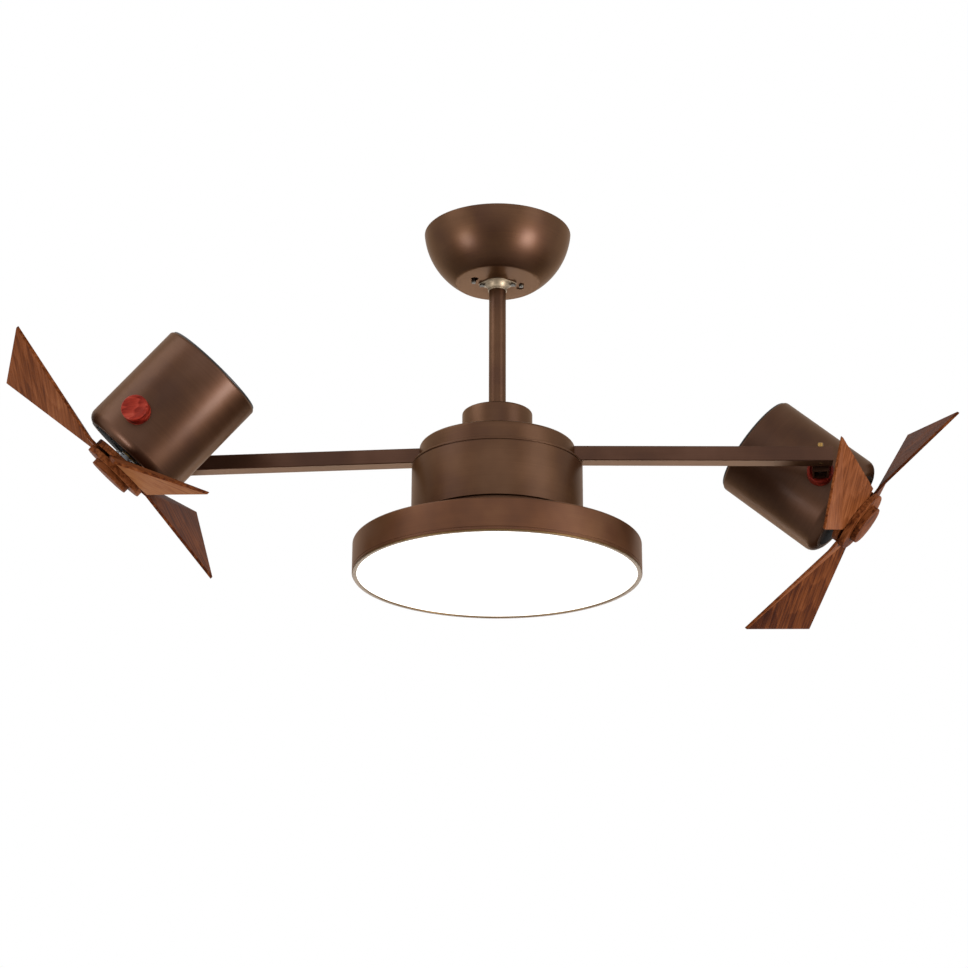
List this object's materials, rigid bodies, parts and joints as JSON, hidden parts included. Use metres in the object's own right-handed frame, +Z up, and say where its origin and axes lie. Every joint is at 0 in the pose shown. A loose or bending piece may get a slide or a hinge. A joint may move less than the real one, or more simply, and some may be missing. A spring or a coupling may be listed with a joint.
{
  "type": "ceiling fan",
  "caption": "Ceiling fan with a round light under a down rod and two tilting fan heads on a turning cross arm.",
  "frame": {"origin": "centre of the ceiling face of the mounting bracket, on the fan axis", "axes": "+Z up towards the ceiling along the down rod, +X along the cross arm towards the right head, -Y towards the viewer of the picture"},
  "size_m": [1.0467, 0.5226, 0.4078],
  "materials": {
    "bronze_paint": "satin dark bronze paint",
    "walnut": "satin stained walnut grain",
    "cherry": "satin red stained wood",
    "nickel": "satin nickel plate",
    "zinc_plate": "bright zinc plate",
    "steel": "machined",
    "brass": "turned",
    "gilt_bronze": "satin gold bronze",
    "black_plastic": "moulded",
    "opal": "opal diffuser, lit from behind",
    "board": "white solder mask",
    "winding": "enamelled copper on laminated core",
    "magnet_black": "sintered ferrite",
    "light_alloy": "satin casting"
  },
  "bodies": {
    "mounting_and_light": {"ceiling_bracket": "zinc_plate", "canopy": "bronze_paint", "canopy_screws": "zinc_plate", "hanging_ball": "black_plastic", "rod_collar": "nickel", "collar_screws": "zinc_plate", "down_rod": "bronze_paint", "cross_pins": "steel", "neck_cap": "bronze_paint", "coupling": "steel", "spindle": "steel", "slip_ring": "black_plastic", "housing": "bronze_paint", "led_driver": "black_plastic", "spindle_nut": "zinc_plate", "light_pan": "bronze_paint", "led_board": "board", "lens": "opal", "bezel": "gilt_bronze"},
    "turning_arms": {"hub_cover": "bronze_paint", "arm_hub": "steel", "hub_bushing": "brass", "arm_screws": "zinc_plate", "swivel_screws": "brass", "left_arm": "bronze_paint", "right_arm": "bronze_paint"},
    "left_swivel": {"left_bracket": "bronze_paint"},
    "left_head": {"left_tilt_bolt": "zinc_plate", "left_tilt_disc": "cherry", "left_drum": "bronze_paint", "left_front_plate": "light_alloy", "left_rear_cap": "black_plastic", "left_knob": "cherry", "left_stator": "winding", "left_bushings": "brass"},
    "left_rotor": {"left_shaft": "steel", "left_magnet": "magnet_black", "left_back_disc": "walnut", "left_blade_a": "walnut", "left_blade_b": "walnut", "left_blade_c": "walnut", "left_front_disc": "walnut", "left_end_cap": "walnut"},
    "right_swivel": {"right_bracket": "bronze_paint"},
    "right_head": {"right_tilt_bolt": "zinc_plate", "right_tilt_disc": "cherry", "right_drum": "bronze_paint", "right_front_plate": "light_alloy", "right_rear_cap": "black_plastic", "right_knob": "cherry", "right_stator": "winding", "right_bushings": "brass"},
    "right_rotor": {"right_shaft": "steel", "right_magnet": "magnet_black", "right_back_disc": "walnut", "right_blade_a": "walnut", "right_blade_b": "walnut", "right_blade_c": "walnut", "right_front_disc": "walnut", "right_end_cap": "walnut"}
  },
  "joints": [
    {"name": "arms_turn", "type": "hinge", "parent": "mounting_and_light", "child": "turning_arms", "pos_m": [0, 0, -0.26392], "axis": [0, 0, 1], "continuous": true},
    {"name": "left_swivel", "type": "hinge", "parent": "turning_arms", "child": "left_swivel", "pos_m": [-0.34934, 0, -0.27063], "axis": [-0.0192, 0, 0.9998], "range_deg": [-10.7, 19.3]},
    {"name": "left_tilt", "type": "hinge", "parent": "left_swivel", "child": "left_head", "pos_m": [-0.35737, -0.1074, -0.27278], "axis": [-0.075, -0.9972, -0.0014], "range_deg": [-125.9, 44.1]},
    {"name": "left_spin", "type": "hinge", "parent": "left_head", "child": "left_rotor", "pos_m": [-0.35737, -0.1074, -0.27278], "axis": [-0.68, 0.0522, -0.7313], "continuous": true},
    {"name": "right_swivel", "type": "hinge", "parent": "turning_arms", "child": "right_swivel", "pos_m": [0.34934, 0, -0.27063], "axis": [0.0192, 0, 0.9998], "range_deg": [-11, 19]},
    {"name": "right_tilt", "type": "hinge", "parent": "right_swivel", "child": "right_head", "pos_m": [0.35681, 0.10744, -0.27277], "axis": [0.0697, 0.9976, -0.0013], "range_deg": [-119, 51]},
    {"name": "right_spin", "type": "hinge", "parent": "right_head", "child": "right_rotor", "pos_m": [0.35681, 0.10744, -0.27277], "axis": [0.763, -0.0542, -0.6441], "continuous": true}
  ]
}
